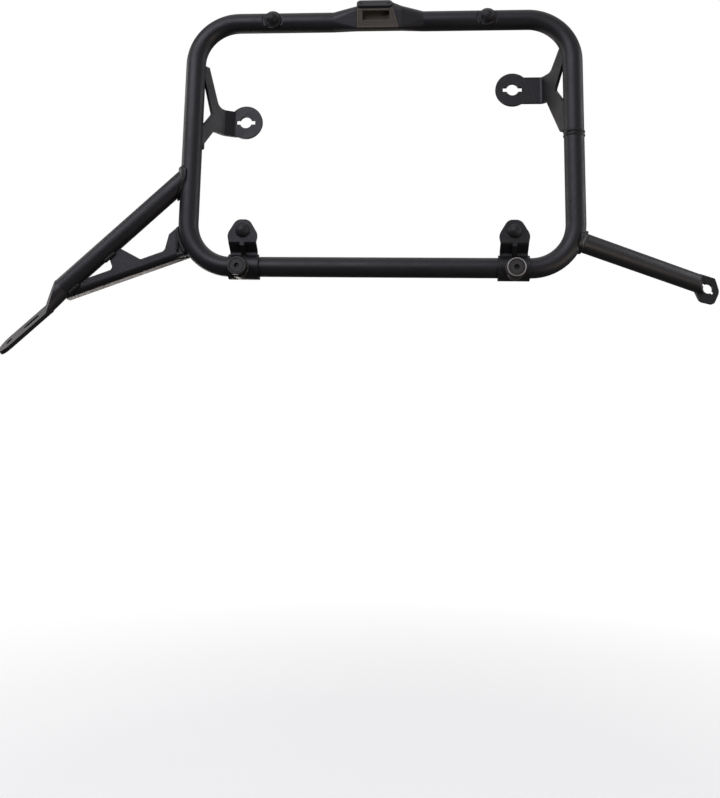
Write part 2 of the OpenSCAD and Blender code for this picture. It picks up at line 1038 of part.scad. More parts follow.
// Two legs and the root of the arm in the legs' own plane, as [distance from root, height]
front_legs = rounded([
    [-leg_sink, front_hole_z + front_leg_up],
    [leg_tip, front_hole_z + front_leg_up, tip_edge_r],
    [front_knee, front_arm_high, knee_r],
    [norm(front_fold - front_root) - fold_r, front_arm_high],
    [norm(front_fold - front_root) - fold_r, front_arm_low],
    [front_heel, front_arm_low, heel_r],
    [-leg_sink, front_hole_z - front_leg_down],
    [-leg_sink, front_hole_z - front_gap_down],
    [front_gap, front_hole_z + front_gap_mid, gap_r],
    [-leg_sink, front_hole_z + front_gap_up]
]);
rear_legs = rounded([
    [-leg_sink, rear_hole_z + rear_leg_up],
    [leg_tip / 2, rear_hole_z + rear_leg_up - leg_tip, tip_edge_r],
    [rear_knee, rear_arm_high, knee_r],
    [norm(rear_fold - rear_root) - fold_r, rear_arm_high],
    [norm(rear_fold - rear_root) - fold_r, rear_arm_low],
    [rear_heel, rear_arm_low, heel_r],
    [leg_tip, rear_hole_z - rear_leg_down, tip_edge_r],
    [-leg_sink, rear_hole_z - rear_leg_down],
    [-leg_sink, rear_hole_z - rear_gap_down],
    [rear_gap, rear_hole_z - rear_gap_mid, gap_r],
    [-leg_sink, rear_hole_z + rear_gap_up]
]);

module leg_plane(root, fold) {
    translate([root.x, root.y, 0])
        rotate([0, 0, heading(fold - root)])
            rotate([90, 0, 0])
                translate([0, 0, -mount_t / 2])
                    linear_extrude(mount_t)
                        children();
}

// A folded sheet: two legs on the upright, an arm and a round end with a keyed hole
module folded_mount(root, folds, hole, legs, arm_low, arm_high) {
    bend_centre_r = fold_r + mount_t / 2;
    start = folds[0] + unit(root - folds[0]) * (fold_r + 1);
    difference() {
        union() {
            leg_plane(root, folds[0])
                polygon(legs);
            translate([0, 0, arm_low])
                linear_extrude(arm_high - arm_low)
                    strip(concat([start], folds, [[hole.x, hole.y]]), mount_t, bend_centre_r);
            translate([hole.x, hole.y + mount_t / 2, hole.z])
                rotate([90, 0, 0])
                    cylinder(r = mount_end_r, h = mount_t);
        }
        translate([hole.x, hole.y + far / 2, hole.z])
            rotate([90, 0, 0])
                linear_extrude(far)
                    keyed_hole(mount_hole_r, key_l, key_w);
        children();
    }
}

module upper_mount_front() {
    color(coat)
        folded_mount(
            front_root, [front_fold, front_joggle],
            [-front_hole_x, front_mount_y, front_hole_z],
            front_legs, front_arm_low, front_arm_high
        ) {
            solid_run(upper_front, lower_front);
            solid_bend(upper_front);
        }
}

module upper_mount_rear() {
    color(coat)
        folded_mount(
            rear_root, [rear_fold],
            [rear_hole_x, rear_mount_y, rear_hole_z],
            rear_legs, rear_arm_low, rear_arm_high
        ) {
            solid_run(lower_rear, upper_rear);
            solid_bend(upper_rear);
        }
}

// A straight weld bead with round ends, between two points
module bead(from, to, r) {
    along = to - from;
    length = norm(along);
    translate(from)
        rotate([0, acos(along.z / length), heading(along)])
            rotate_extrude()
                intersection() {
                    union() {
                        square([r, length]);
                        circle(r = r);
                        translate([0, length])
                            circle(r = r);
                    }
                    translate([0, -r])
                        square([r, length + 2 * r]);
                }
}

weld_r = 1.6;
weld_in = 0.6;
weld_short = 1.5;
module leg_weld(root, side, z_low, z_high) {
    y = root.y + mount_t / 2 + 1;
    bead(
        [side * (upright_inside + weld_in), y, z_low + weld_short],
        [side * (upright_inside + weld_in), y, z_high - weld_short],
        weld_r
    );
}

module upper_mount_welds() {
    color(coat)
        difference() {
            union() {
                leg_weld(front_root, -1, front_hole_z - front_leg_down, front_hole_z - front_gap_down);
                leg_weld(front_root, -1, front_hole_z + front_gap_up, front_hole_z + front_leg_up);
                leg_weld(rear_root, 1, rear_hole_z - rear_leg_down, rear_hole_z - rear_gap_down);
                leg_weld(rear_root, 1, rear_hole_z + rear_arm_up, rear_hole_z + rear_gap_up);
            }
            solid_run(upper_front, lower_front);
            solid_bend(upper_front);
            solid_run(lower_rear, upper_rear);
            solid_bend(upper_rear);
            leg_plane(front_root, front_fold)
                polygon(front_legs);
            leg_plane(rear_root, rear_fold)
                polygon(rear_legs);
        }
}

// Front arm

// The arm's axis starts on the upright's axis and slopes down to the front
front_arm_at = [-upright_x, 0, front_arm_z];
front_arm_dir = [-cos(front_arm_slope), 0, -sin(front_arm_slope)];
front_arm_end = front_arm_at + front_arm_dir * front_arm_l;

// The frame of the arm's foot: +X back up the arm, +Z out of the flat end's upper face
module at_arm_foot() {
    translate(front_arm_end)
        rotate([flat_twist, -front_arm_slope, 0])
            children();
}

module front_arm_bar(d, from, to) {
    at_arm_foot()
        translate([from, 0, 0])
            rotate([0, 90, 0])
                cylinder(d = d, h = to - from);
}

module flat_slot() {
    width = 2 * flat_hole_r + 0.4;
    square([flat_slot_l - width, width], center = true);
    for (side = [-1, 1])
        translate([side * (flat_slot_l - width) / 2, 0])
            circle(d = width);
}

// The foot seen from its side, as [along the arm, across its thickness]
module foot_profile() {
    rise = (flat_l + flat_w) * tan(flat_easing);
    middle = -flat_drop;
    tip = -crush_l - flat_l - flat_w;
    polygon([
        [0, -arm_d],
        [-1, -arm_r],
        [-crush_l, middle - flat_t / 2],
        [tip, middle - flat_t / 2 + rise],
        [tip, middle + flat_t / 2 + rise],
        [-crush_l, middle + flat_t / 2],
        [-1, arm_r],
        [0, arm_d]
    ]);
}

module foot_plan() {
    translate([-crush_l - flat_l, -flat_w / 2])
        square([flat_l + crush_l / 4, flat_w]);
    translate([-crush_l - flat_l, 0])
        circle(d = flat_w);
}

// The round tube splays out as it is crushed
module arm_splay(gap = 0) {
    splay = sqrt(pow(flat_w / 2, 2) + pow(flat_drop, 2));
    rotate([0, -90, 0])
        cylinder(r1 = arm_r + gap, r2 = splay + gap, h = crush_l);
}

// The tube's crushed and flattened end
module arm_foot() {
    at_arm_foot()
        difference() {
            intersection() {
                rotate([90, 0, 0])
                    translate([0, 0, -far / 2])
                        linear_extrude(far)
                            foot_profile();
                union() {
                    arm_splay();
                    translate([0, 0, -far / 2])
                        linear_extrude(far)
                            foot_plan();
                }
            }
            translate([-crush_l - flat_l, 0, -far / 2])
                cylinder(r = flat_hole_r, h = far);
            translate([slot_pitch - crush_l - flat_l, 0, -far / 2])
                linear_extrude(far)
                    flat_slot();
        }
}

module front_arm() {
    color(coat)
        difference() {
            union() {
                difference() {
                    front_arm_bar(arm_d, 0, front_arm_l);
                    front_arm_bar(arm_d - 2 * tube_wall, tube_wall, far);
                }
                arm_foot();
            }
            solid_run(upper_front, lower_front);
        }
}

module front_arm_weld($fn = 160) {
    color(coat)
        difference() {
            intersection() {
                front_arm_bar(arm_d + 2 * bead_h, front_arm_l / 2, front_arm_l);
                solid_run(upper_front, lower_front, bead_h);
                translate([-far - upright_x - bead_h, -far / 2, 0])
                    cube(far);
            }
            front_arm_bar(arm_d, 0, far);
            solid_run(upper_front, lower_front);
        }
}

// Gusset between the front arm and the loop's lower corner

// The folded edge, from its front end under the arm to the loop, as [x, z]
gusset_lap = 0.8;
arm_down = [-front_arm_dir.z, front_arm_dir.x];
fold_a = [front_arm_at.x, front_arm_at.z]
    + (front_arm_l + gusset_past) * [front_arm_dir.x, front_arm_dir.z] + gusset_below * arm_down;
fold_b = [gusset_lap - upright_x, gusset_rear_z];
gusset_slope = heading(fold_b - fold_a);
gusset_l = norm(fold_b - fold_a);
gusset_bend = 2;

// Places along the folded edge, back from the loop, and heights above it
strut_rear = 42.4;
strut_front = 69;
strut_slant = 14.9;
strut_top = 16.2;
strut_notch = 2;
tab_in = 21;
tab_step = 2.5;
tab_face = 6.4;
tab_low = 10.6;
tab_high = 11.5;
tab_rise = 4.6;
corner_r = 2;
end_r = 5;

// Heights of the arm's axis and of its underside at a given x
function arm_line(x) = front_arm_z - (front_arm_at.x - x) * tan(front_arm_slope);
function arm_under(x) = arm_line(x) - arm_r / cos(front_arm_slope);

// A point given by its distance from the loop along the folded edge and its height above it
function on_gusset(back, up) =
    fold_b - back * dir(gusset_slope) + up * dir(gusset_slope + 90);
function gusset_corner(back, up, r) =
    let (p = on_gusset(back, up))
    [p.x, p.y, r];

strut_peak = on_gusset(strut_rear + strut_slant, gusset_band + strut_top);
window_peak = strut_peak - [strut_notch + arm_r + corner_r, 0];
window_front = on_gusset(gusset_l - gusset_band - arm_r, gusset_band);
gusset_outline = rounded([
    [fold_a.x, fold_a.y, end_r],
    [fold_b.x, fold_b.y],
    gusset_corner(0, tab_low + tab_high + tab_rise, 0),
    gusset_corner(tab_in - tab_step - tab_face - 1, tab_low + tab_high, corner_r),
    gusset_corner(tab_in - tab_step, tab_low, corner_r),
    gusset_corner(tab_in, gusset_band, corner_r),
    gusset_corner(strut_rear, gusset_band, corner_r),
    [strut_peak.x, strut_peak.y, corner_r / 2],
    [strut_peak.x - strut_notch, arm_line(strut_peak.x - strut_notch)],
    [window_peak.x, arm_line(window_peak.x)],
    gusset_corner(strut_front, gusset_band + corner_r, corner_r),
    gusset_corner(strut_front + corner_r, gusset_band, corner_r),
    [window_front.x, window_front.y],
    [window_front.x - corner_r, arm_line(window_front.x - corner_r)],
    [fold_a.x, arm_line(fold_a.x)]
]);

module gusset_flange() {
    length = norm(fold_b - fold_a);
    r = gusset_bend + gusset_t / 2;
    translate([fold_a.x, 0, fold_a.y])
        rotate([0, -gusset_slope, 0])
            along_x(length)
                strip([[0, r + 1], [0, 0], [gusset_flange_w - gusset_t / 2, 0]], gusset_t, r);
}

module gusset() {
    color(coat)
        difference() {
            union() {
                difference() {
                    translate([0, gusset_t / 2, 0])
                        in_loop_plane()
                            linear_extrude(gusset_t)
                                polygon(gusset_outline);
                    // Room for the rounded fold
                    translate([fold_a.x, 0, fold_a.y])
                        rotate([0, -gusset_slope, 0])
                            translate([-far / 2, -far / 2, -far])
                                cube([far, far, far + gusset_bend + gusset_t / 2]);
                }
                gusset_flange();
            }
            front_arm_bar(arm_d, 0, front_arm_l);
            at_arm_foot()
                arm_splay(fit);
            solid_run(upper_front, lower_front);
            solid_bend(lower_front);
        }
}

// Places of the gusset's beads under the arm, back from the end of its round tube
end_bead_back = 11.1;
strut_bead_back = 42.1;
gusset_beads = [end_bead_back, strut_bead_back];
bead_l = 7;
bead_out = gusset_t / 2 + 0.6;
loop_bead_top = 34;
loop_bead_low = 15;

module gusset_welds() {
    color(coat)
        difference() {
            union() {
                for (back = gusset_beads)
                    bead(under_arm(back - bead_l / 2), under_arm(back + bead_l / 2), corner_r);
                bead(
                    [-upright_x - tube_r, -bead_out, loop_bead_top],
                    [-upright_x - tube_r + rest_t, -bead_out, loop_bead_low],
                    corner_r
                );
            }
            front_arm_bar(arm_d, 0, front_arm_l);
            solid_run(upper_front, lower_front);
            solid_bend(lower_front);
            translate([0, gusset_t / 2, 0])
                in_loop_plane()
                    linear_extrude(gusset_t)
                        polygon(gusset_outline);
        }
}

// A point along the arm's underside, at a level distance back from the end of its round tube
function under_arm(back) = [front_arm_end.x + back, -bead_out, arm_under(front_arm_end.x + back)];

// Rear arm

// The arm starts on the centre line of the loop's lower rear bend
rear_arm_at = [
    upright_x - bend_r + sqrt(pow(bend_r, 2) - pow(bend_r - rear_arm_z, 2)),
    0,
    rear_arm_z
];
rear_arm_vec = [rear_arm_run, rear_arm_in, -rear_arm_drop];
rear_arm_l = norm(rear_arm_vec);
rear_arm_end = rear_arm_at + rear_arm_vec;
tab_x = rear_arm_end.x + 7.4;
tab_y = rear_arm_end.y + 3;
tab_top = rear_arm_end.z + 8.1;
tab_hole_x = 6.6;
tab_hole_z = -14;
tab_key_turn = -45;

module rear_arm_bar(d, from, length) {
    translate(rear_arm_at)
        rotate([0, acos(rear_arm_vec.z / rear_arm_l), heading(rear_arm_vec)])
            translate([0, 0, from])
                cylinder(d = d, h = length);
}

// The flat end in its own plane, from its inner top corner
module tab_outline() {
    polygon(rounded([
        [0, 0],
        [tab_l * 0.8, -tab_h * 0.15, 2.5],
        [tab_l, -tab_h * 0.6, 9],
        [tab_l * 0.67, -tab_h, 3],
        [-1, 3 - tab_h, 5],
        [-6, -tab_h / 2]
    ]));
}

// The rear arm seen from above: it keeps clear of the tube except at its slanted end
module rear_arm_plan() {
    along = unit([rear_arm_vec.x, rear_arm_vec.y]);
    out = [along.y, -along.x];
    start = [rear_arm_at.x, rear_arm_at.y];
    end = [rear_arm_end.x, rear_arm_end.y];
    corner = end + out * arm_r;
    knee = [tab_x + 2, tab_y];
    polygon([
        start - out * arm_d - along * arm_d,
        start + out * arm_d - along * arm_d,
        corner + (corner - knee) / 2,
        knee,
        knee + [0, tab_t],
        [end.x - arm_d, tab_y + tab_t]
    ]);
}

module rear_arm() {
    past_end = 30;
    color(coat)
        difference() {
            union() {
                intersection() {
                    difference() {
                        rear_arm_bar(arm_d, 0, rear_arm_l + past_end);
                        rear_arm_bar(arm_d - 2 * tube_wall, -eps, rear_arm_l - arm_r);
                    }
                    translate([0, 0, -far / 2])
                        linear_extrude(far)
                            rear_arm_plan();
                }
                translate([tab_x, tab_y + tab_t, tab_top])
                    in_loop_plane()
                        linear_extrude(tab_t)
                            tab_outline();
            }
            translate([tab_x + tab_hole_x, tab_y + far / 2, tab_top + tab_hole_z])
                in_loop_plane()
                    linear_extrude(far)
                        rotate(tab_key_turn)
                            keyed_hole(tab_hole_r, tab_key_l, tab_key_w);
            solid_bend(lower_rear);
        }
}

module rear_arm_weld($fn = 160) {
    color(coat)
        difference() {
            intersection() {
                rear_arm_bar(arm_d + 2 * bead_h, 0, far / 10);
                solid_bend(lower_rear, bead_h);
            }
            rear_arm_bar(arm_d, -eps, far / 10 + 2 * eps);
            solid_bend(lower_rear);
        }
}

loop_tube_main();
loop_tube_rear();
loop_butt_weld();
latch_housing();
latch_receiver();
latch_bar();
latch_pins();
top_bumper_front();
top_bumper_rear();
hook_bracket_front();
hook_bracket_rear();
hook_bumper_front();
hook_bumper_rear();
hook_puck_front();
hook_puck_rear();
puck_screw_front();
puck_screw_rear();
puck_boss_front();
puck_boss_rear();
upper_mount_front();
upper_mount_rear();
upper_mount_welds();
front_arm();
front_arm_weld();
gusset();
gusset_welds();
rear_arm();
rear_arm_weld();
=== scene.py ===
import math

import bmesh
import bpy
from mathutils import Matrix, Vector


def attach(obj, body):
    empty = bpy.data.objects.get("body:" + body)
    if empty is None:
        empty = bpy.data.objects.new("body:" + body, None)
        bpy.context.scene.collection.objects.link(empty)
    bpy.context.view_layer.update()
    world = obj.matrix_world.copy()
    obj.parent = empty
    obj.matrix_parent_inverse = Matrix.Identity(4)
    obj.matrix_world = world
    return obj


MM = 0.001
LOOP_H = 231.0
UPRIGHT_X = 173.0
TUBE_R = 9.0

# The receiver's slanted face, in mm: its ends, and its lower and upper edges as (y, z)
FACE_FRONT = -23.0
FACE_REAR_LOW = 16.0
FACE_REAR_HIGH = 10.5
FACE_LOW = (-8.5, LOOP_H - 9.5)
FACE_HIGH = (-13.5, LOOP_H + 7.5)

# The pucks' and screws' axes, in mm
PUCK_Z = -3.0
PUCK_FACE_Y = -25.5
PUCK_X = {"front": -122.4, "rear": 118.6}

# Each pair is where a change starts and where it is complete. A puck's face gets a painted
# highlight ring beyond a radius, in mm, and down to a depth from its face, in metres. A screw's
# socket ends at a radius, in mm, and is painted dark inside it as shade.
HIGHLIGHT_FROM = (7.2, 7.6)
HIGHLIGHT_DEPTH = (0.0009, 0.0012)
SOCKET_R = (2.3, 2.5)
# Painted shade inside the screw sockets.
SOCKET_SHADE = (0.0015, 0.0015, 0.0015)

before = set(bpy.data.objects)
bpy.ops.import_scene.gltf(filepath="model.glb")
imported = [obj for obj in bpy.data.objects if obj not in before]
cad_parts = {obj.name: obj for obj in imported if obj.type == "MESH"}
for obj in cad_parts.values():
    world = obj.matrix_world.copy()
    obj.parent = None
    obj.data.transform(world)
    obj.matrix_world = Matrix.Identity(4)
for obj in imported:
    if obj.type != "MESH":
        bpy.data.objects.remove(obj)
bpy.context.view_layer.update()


# Materials


class Graph:
    """A material's node tree, with short ways to add and join nodes."""

    def __init__(self, name):
        self.material = bpy.data.materials.new(name)
        self.material.use_nodes = True
        self.tree = self.material.node_tree
        self.shader = self.tree.nodes["Principled BSDF"]

    def add(self, kind, **settings):
        node = self.tree.nodes.new(kind)
        for key, value in settings.items():
            setattr(node, key, value)
        return node

    def join(self, source, target):
        self.tree.links.new(source, target)

    def place(self):
        return self.add("ShaderNodeTexCoord").outputs["Object"]

    def noise(self, scale, detail):
        node = self.add("ShaderNodeTexNoise")
        node.inputs["Scale"].default_value = scale
        node.inputs["Detail"].default_value = detail
        self.join(self.place(), node.inputs["Vector"])
        return node.outputs["Fac"]

    def span(self, source, low, high, from_low, from_high):
        """The source's range from_low to from_high, turned into low to high."""
        node = self.add("ShaderNodeMapRange")
        node.inputs["From Min"].default_value = from_low
        node.inputs["From Max"].default_value = from_high
        node.inputs["To Min"].default_value = low
        node.inputs["To Max"].default_value = high
        self.join(source, node.inputs["Value"])
        return node.outputs["Result"]

    def mix(self, fac, first, second):
        node = self.add("ShaderNodeMix", data_type="RGBA")
        colours = [s for s in node.inputs if s.type == "RGBA"]
        for colour, value in zip(colours, (first, second)):
            if hasattr(value, "links"):
                self.join(value, colour)
            else:
                colour.default_value = (*value, 1)
        self.join(fac, node.inputs["Factor"])
        return [s for s in node.outputs if s.type == "RGBA"][0]

    def rounded(self, radius):
        """Normals that look as if the edges had this radius, in metres."""
        node = self.add("ShaderNodeBevel", samples=4)
        node.inputs["Radius"].default_value = radius
        return node.outputs["Normal"]

    def bump(self, height, strength, distance, normal):
        node = self.add("ShaderNodeBump")
        node.inputs["Strength"].default_value = strength
        node.inputs["Distance"].default_value = distance
        self.join(height, node.inputs["Height"])
        self.join(normal, node.inputs["Normal"])
        return node.outputs["Normal"]

    def within(self, x, z, inner, outer):
        """0 nearer than inner to an axis along Y, 1 beyond outer, all in mm."""
        away = self.add("ShaderNodeVectorMath", operation="SUBTRACT")
        self.join(self.place(), away.inputs[0])
        away.inputs[1].default_value = (x * MM, 0, z * MM)
        flat = self.add("ShaderNodeVectorMath", operation="MULTIPLY")
        self.join(away.outputs["Vector"], flat.inputs[0])
        flat.inputs[1].default_value = (1, 0, 1)
        length = self.add("ShaderNodeVectorMath", operation="LENGTH")
        self.join(flat.outputs["Vector"], length.inputs[0])
        return self.span(length.outputs["Value"], 0.0, 1.0, inner * MM, outer * MM)

    def set(self, name, value):
        socket = self.shader.inputs[name]
        if hasattr(value, "links"):
            self.join(value, socket)
        else:
            socket.default_value = value


def powder(name, dark, light, rough, edge=0.0004, grain=0.5):
    """Baked-on powder coat: a fine orange peel, slightly uneven in gloss and colour."""
    g = Graph(name)
    blotch = g.noise(14.0, 4.0)
    g.set("Base Color", g.mix(g.span(blotch, 0.0, 1.0, 0.3, 0.7), dark, light))
    g.set("Roughness", g.span(g.noise(55.0, 3.0), rough - 0.05, rough + 0.06, 0.3, 0.7))
    peel = g.bump(g.noise(800.0, 2.0), grain, 0.0003, g.rounded(edge))
    g.set("Normal", g.bump(g.noise(2600.0, 2.0), grain * 0.6, 0.00006, peel))
    g.set("Specular IOR Level", 0.5)
    return g.material


def puck_with_painted_highlight(name, dark, light, rim, x):
    """Coated steel with a lighter ring painted on the rim of its face as a highlight."""
    g = Graph(name)
    base = g.mix(g.span(g.noise(40.0, 4.0), 0.0, 1.0, 0.3, 0.7), dark, light)
    split = g.add("ShaderNodeSeparateXYZ")
    g.join(g.place(), split.inputs[0])
    # Where the painted highlight goes: beyond the radius and close to the face.
    painted_highlight = g.add("ShaderNodeMath", operation="MULTIPLY")
    g.join(g.within(x, PUCK_Z, *HIGHLIGHT_FROM), painted_highlight.inputs[0])
    near, far = (PUCK_FACE_Y * MM + depth for depth in HIGHLIGHT_DEPTH)
    g.join(g.span(split.outputs["Y"], 1.0, 0.0, near, far), painted_highlight.inputs[1])
    g.set("Base Color", g.mix(painted_highlight.outputs["Value"], base, rim))
    g.set("Roughness", g.span(g.noise(160.0, 3.0), 0.34, 0.46, 0.3, 0.7))
    g.set("Normal", g.bump(g.noise(1800.0, 2.0), 0.2, 0.00006, g.rounded(0.0002)))
    return g.material


def socket_screw(name, dark, light, x):
    """A coated screw head with painted shade in its socket."""
    g = Graph(name)
    face = g.mix(g.noise(120.0, 4.0), dark, light)
    # Inside the socket's radius the head is painted dark as shade.
    g.set("Base Color", g.mix(g.within(x, PUCK_Z, *SOCKET_R), SOCKET_SHADE, face))
    g.set("Roughness", g.span(g.noise(200.0, 3.0), 0.38, 0.50, 0.3, 0.7))
    g.set("Normal", g.bump(g.noise(1800.0, 2.0), 0.2, 0.00006, g.rounded(0.0002)))
    return g.material


def rubber(name, dark, light, rough):
    """Dull moulded rubber."""
    g = Graph(name)
    g.set("Base Color", g.mix(g.noise(60.0, 4.0), dark, light))
    g.set("Roughness", rough)
    g.set("Normal", g.bump(g.noise(1500.0, 2.0), 0.25, 0.0001, g.rounded(0.00025)))
    g.set("Specular IOR Level", 0.4)
    return g.material


def steel(name, dark, light, rough):
    """Bare metal, uneven in gloss."""
    g = Graph(name)
    g.set("Base Color", g.mix(g.noise(90.0, 4.0), dark, light))
    g.set("Metallic", 1.0)
    g.set("Roughness", g.span(g.noise(300.0, 3.0), rough - 0.06, rough + 0.08, 0.3, 0.7))
    g.set("Normal", g.bump(g.noise(1800.0, 2.0), 0.15, 0.00005, g.rounded(0.0003)))
    return g.material


coat = powder("coat", (0.0100, 0.0094, 0.0110), (0.0145, 0.0137, 0.0160), 0.46, grain=0.45)
sheet_coat = powder("sheet_coat", (0.0066, 0.0062, 0.0072), (0.0100, 0.0094, 0.0110), 0.44, 0.0005)
weld_coat = powder("weld_coat", (0.008, 0.008, 0.0085), (0.012, 0.012, 0.012), 0.38, 0.0006, 0.9)
receiver_coat = powder("receiver", (0.068, 0.057, 0.042), (0.090, 0.077, 0.058), 0.46, 0.0004)
bar_coat = powder("dark_metal", (0.021, 0.021, 0.022), (0.029, 0.029, 0.031), 0.33, 0.0003)
# Both pucks carry a painted highlight ring on the rim of the face.
puck_front = puck_with_painted_highlight(
    "puck_front", (0.011, 0.0105, 0.010), (0.016, 0.0155, 0.015),
    (0.055, 0.055, 0.056), PUCK_X["front"])
puck_rear = puck_with_painted_highlight(
    "puck_rear", (0.040, 0.036, 0.031), (0.056, 0.051, 0.045),
    (0.50, 0.49, 0.47), PUCK_X["rear"])
screw_front = socket_screw(
    "screw_front", (0.013, 0.0125, 0.012), (0.019, 0.0185, 0.018), PUCK_X["front"])
screw_rear = socket_screw(
    "screw_rear", (0.032, 0.029, 0.025), (0.044, 0.041, 0.036), PUCK_X["rear"])
bare_steel = steel("bare_steel", (0.16, 0.155, 0.15), (0.24, 0.23, 0.22), 0.34)
pin_steel = steel("pin_steel", (0.05, 0.05, 0.05), (0.08, 0.08, 0.08), 0.40)
soft_rubber = rubber("rubber", (0.016, 0.0152, 0.0168), (0.021, 0.020, 0.022), 0.52)
# A lighter copy of the receiver's coat: painted highlight on the rim, lip and rivets.
receiver_trim_highlight = powder(
    "receiver_trim_highlight", (0.120, 0.104, 0.082), (0.150, 0.132, 0.106), 0.38, 0.0001)

MATERIALS = {
    "loop_tube_main": coat,
    "loop_tube_rear": coat,
    "loop_butt_weld": weld_coat,
    "latch_housing": coat,
    "latch_receiver": receiver_coat,
    "latch_bar": bar_coat,
    "latch_pins": pin_steel,
    "top_bumper_front": soft_rubber,
    "top_bumper_rear": soft_rubber,
    "hook_bracket_front": sheet_coat,
    "hook_bracket_rear": sheet_coat,
    "hook_bumper_front": soft_rubber,
    "hook_bumper_rear": soft_rubber,
    "hook_puck_front": puck_front,
    "hook_puck_rear": puck_rear,
    "puck_screw_front": screw_front,
    "puck_screw_rear": screw_rear,
    "puck_boss_front": bare_steel,
    "puck_boss_rear": bare_steel,
    "upper_mount_front": sheet_coat,
    "upper_mount_rear": sheet_coat,
    "upper_mount_welds": weld_coat,
    "front_arm": coat,
    "front_arm_weld": weld_coat,
    "gusset": sheet_coat,
    "gusset_welds": weld_coat,
    "rear_arm": coat,
    "rear_arm_weld": weld_coat,
}

for name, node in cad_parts.items():
    if not node.data.materials:
        node.data.materials.append(None)
    for i in range(len(node.data.materials)):
        node.data.materials[i] = MATERIALS[name]


# Small trim on the receiver's face, coloured lighter as a painted highlight

FACE_SLOPE = Vector((0, FACE_HIGH[0] - FACE_LOW[0], FACE_HIGH[1] - FACE_LOW[1]))
FACE_H = FACE_SLOPE.length
FACE_UP = FACE_SLOPE.normalized()
FACE_OUT = Vector((0, -FACE_UP.z, FACE_UP.y))

# In mm: how deep the trim is sunk, the rim's distance from the face's lower edge and ends and from
# its upper edge, the lip, and the rivets as (x, up)
SUNK = -0.2
RIM_INSET = 0.3
RIM_TOP_INSET = 1.0
LIP_START, LIP_END = (-17.4, 6.3), (6.8, 6.3)
LIP_WIDTH = 0.7
LIP_HEIGHT = 0.3
RIVETS = ((-20.4, 2.4), (-17.4, 2.0), (9.6, 2.0), (13.0, 2.4))
RIVET_R = 0.6
RIVET_HEIGHT = 0.35


def on_face(x, up, out):
    """A point of the face in metres: x, the way up from its lower edge, and how far out."""
    return (Vector((x, *FACE_LOW)) + FACE_UP * up + FACE_OUT * out) * MM


def rear_edge(up):
    """X of the face's slanting rear end."""
    return FACE_REAR_LOW + (FACE_REAR_HIGH - FACE_REAR_LOW) * up / FACE_H


def add_piece(name, mesh_maker, material=receiver_trim_highlight):
    """A closed mesh that rides on the frame."""
    bm = bmesh.new()
    mesh_maker(bm)
    bmesh.ops.recalc_face_normals(bm, faces=bm.faces)
    mesh = bpy.data.meshes.new(name)
    bm.to_mesh(mesh)
    bm.free()
    mesh.materials.append(material)
    piece = bpy.data.objects.new(name, mesh)
    bpy.context.scene.collection.objects.link(piece)
    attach(piece, "root")


def face_rim(bm):
    """A low raised border round the face."""
    height, width, ease = 0.5, 1.2, 0.3

    def corners(inset, out):
        low, high = RIM_INSET + inset, FACE_H - RIM_TOP_INSET - inset
        front = FACE_FRONT + RIM_INSET + inset
        points = [(front, low), (rear_edge(low) - RIM_INSET - inset, low)]
        points += [(rear_edge(high) - RIM_INSET - inset, high), (front, high)]
        return [bm.verts.new(on_face(x, up, out)) for x, up in points]

    rings = [corners(0, SUNK), corners(0, height - ease), corners(ease, height)]
    rings += [corners(width - ease, height), corners(width, height - ease), corners(width, SUNK)]
    for first, second in zip(rings, rings[1:] + rings[:1]):
        for i in range(4):
            bm.faces.new((first[i], first[i - 1], second[i - 1], second[i]))


def ridge(bm, start, end, width, height):
    """A low ridge with a chamfered top between two points (x, up) of the face."""
    run = Vector((end[0] - start[0], end[1] - start[1]))
    side = Vector((-run.y, run.x)).normalized() * width / 2
    profile = [(1, SUNK), (1, height * 0.5), (0.5, height)]
    profile += [(-across, out) for across, out in reversed(profile)]

    def section(point):
        places = [(*(Vector(point) + side * across), out) for across, out in profile]
        return [bm.verts.new(on_face(*place)) for place in places]

    first, second = section(start), section(end)
    for i in range(len(first)):
        bm.faces.new((first[i], first[i - 1], second[i - 1], second[i]))
    bm.faces.new(first)
    bm.faces.new(second)


def rivet(bm, x, up, radius, height):
    """A low domed rivet head on the face."""
    steps, turns = 4, 16

    def ring(flat, out):
        verts = []
        for j in range(turns):
            turn = 2 * math.pi * j / turns
            place = on_face(x + flat * math.cos(turn), up + flat * math.sin(turn), out)
            verts.append(bm.verts.new(place))
        return verts

    tip = bm.verts.new(on_face(x, up, height))
    rings = []
    for i in range(1, steps + 1):
        angle = math.pi / 2 * i / steps
        rings.append(ring(radius * math.sin(angle), height * math.cos(angle)))
    rings.append(ring(radius, SUNK))
    for j in range(turns):
        bm.faces.new((tip, rings[0][j - 1], rings[0][j]))
        for inner, outer in zip(rings, rings[1:]):
            bm.faces.new((inner[j], inner[j - 1], outer[j - 1], outer[j]))
    bm.faces.new(rings[-1])


add_piece("receiver_rim", face_rim)
add_piece("receiver_lip", lambda bm: ridge(bm, LIP_START, LIP_END, LIP_WIDTH, LIP_HEIGHT))
for number, (x, up) in enumerate(RIVETS, 1):
    add_piece(f"receiver_rivet_{number}", lambda bm: rivet(bm, x, up, RIVET_R, RIVET_HEIGHT))


# The toe of the gusset, which follows the loop's lower front bend

# In mm: the bend's radius, the sheet's thickness, where the toe starts (x, and z at its top and
# bottom), the slope of its lower edge and its run to the bend, how deep the toe is sunk in the
# tube, and the folded edge's top and bottom (z) and sides (y)
BEND_R = 40.0
GUSSET_T = 3.0
TOE_FRONT = -182.2
TOE_TOP = 36.6
TOE_LOW = 9.6
TOE_SLOPE = 0.364
TOE_RUN = 8.4
TOE_SUNK = 0.4
FOLD_TOP = TOE_LOW + 3.4
FOLD_LOW = TOE_LOW - 1.9
FOLD_Y = (0.4, 4.2)

